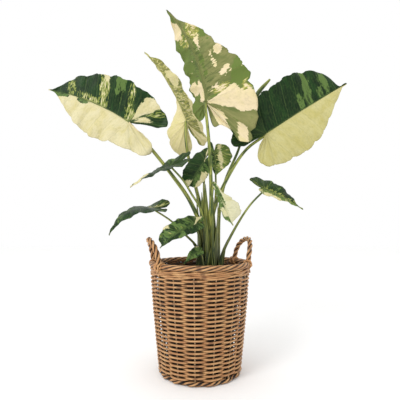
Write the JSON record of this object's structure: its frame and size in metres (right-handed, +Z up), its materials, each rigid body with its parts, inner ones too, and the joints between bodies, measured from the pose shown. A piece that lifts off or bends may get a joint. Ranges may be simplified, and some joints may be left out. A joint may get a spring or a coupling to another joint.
{
  "type": "potted plant",
  "caption": "Variegated giant alocasia with cream and green leaves, in a woven rattan basket with two loop handles.",
  "frame": {"origin": "on the floor under the centre of the basket", "axes": "+Z up, -Y towards the front, +X to the viewer's right when facing the front"},
  "size_m": [0.8682, 0.3331, 1.0206],
  "materials": {
    "rattan": "peeled rattan rods, satin, darker in the gaps of the weave",
    "pot_plastic": "thin dark plastic, matt",
    "potting_soil": "damp crumbly potting soil",
    "leaf_blade": "waxy dark green leaf, variegated with cream and pale green, satin gloss",
    "pale_leaf": "thin cream leaf, satin",
    "leaf_stem": "fleshy yellow-green stalk with darker streaks, satin gloss"
  },
  "bodies": {
    "root": {"basket_base": "rattan", "foot_border": "rattan", "basket_wall": "rattan", "rim_border": "rattan", "handle_right": "rattan", "handle_left": "rattan", "nursery_pot": "pot_plastic", "soil": "potting_soil", "crown_leaf": "leaf_blade", "crown_stem": "leaf_stem", "high_leaf": "leaf_blade", "high_stem": "leaf_stem", "left_wide_leaf": "leaf_blade", "left_wide_stem": "leaf_stem", "right_wide_leaf": "leaf_blade", "right_wide_stem": "leaf_stem", "left_mid_leaf": "leaf_blade", "left_mid_stem": "leaf_stem", "centre_leaf": "leaf_blade", "centre_stem": "leaf_stem", "inner_leaf": "leaf_blade", "inner_stem": "leaf_stem", "low_left_leaf": "leaf_blade", "low_left_stem": "leaf_stem", "front_left_leaf": "leaf_blade", "front_left_stem": "leaf_stem", "rim_leaf": "leaf_blade", "rim_stem": "leaf_stem", "hanging_leaf": "pale_leaf", "hanging_stem": "leaf_stem", "low_right_leaf": "leaf_blade", "low_right_stem": "leaf_stem", "young_leaf": "leaf_stem"}
  },
  "joints": []
}
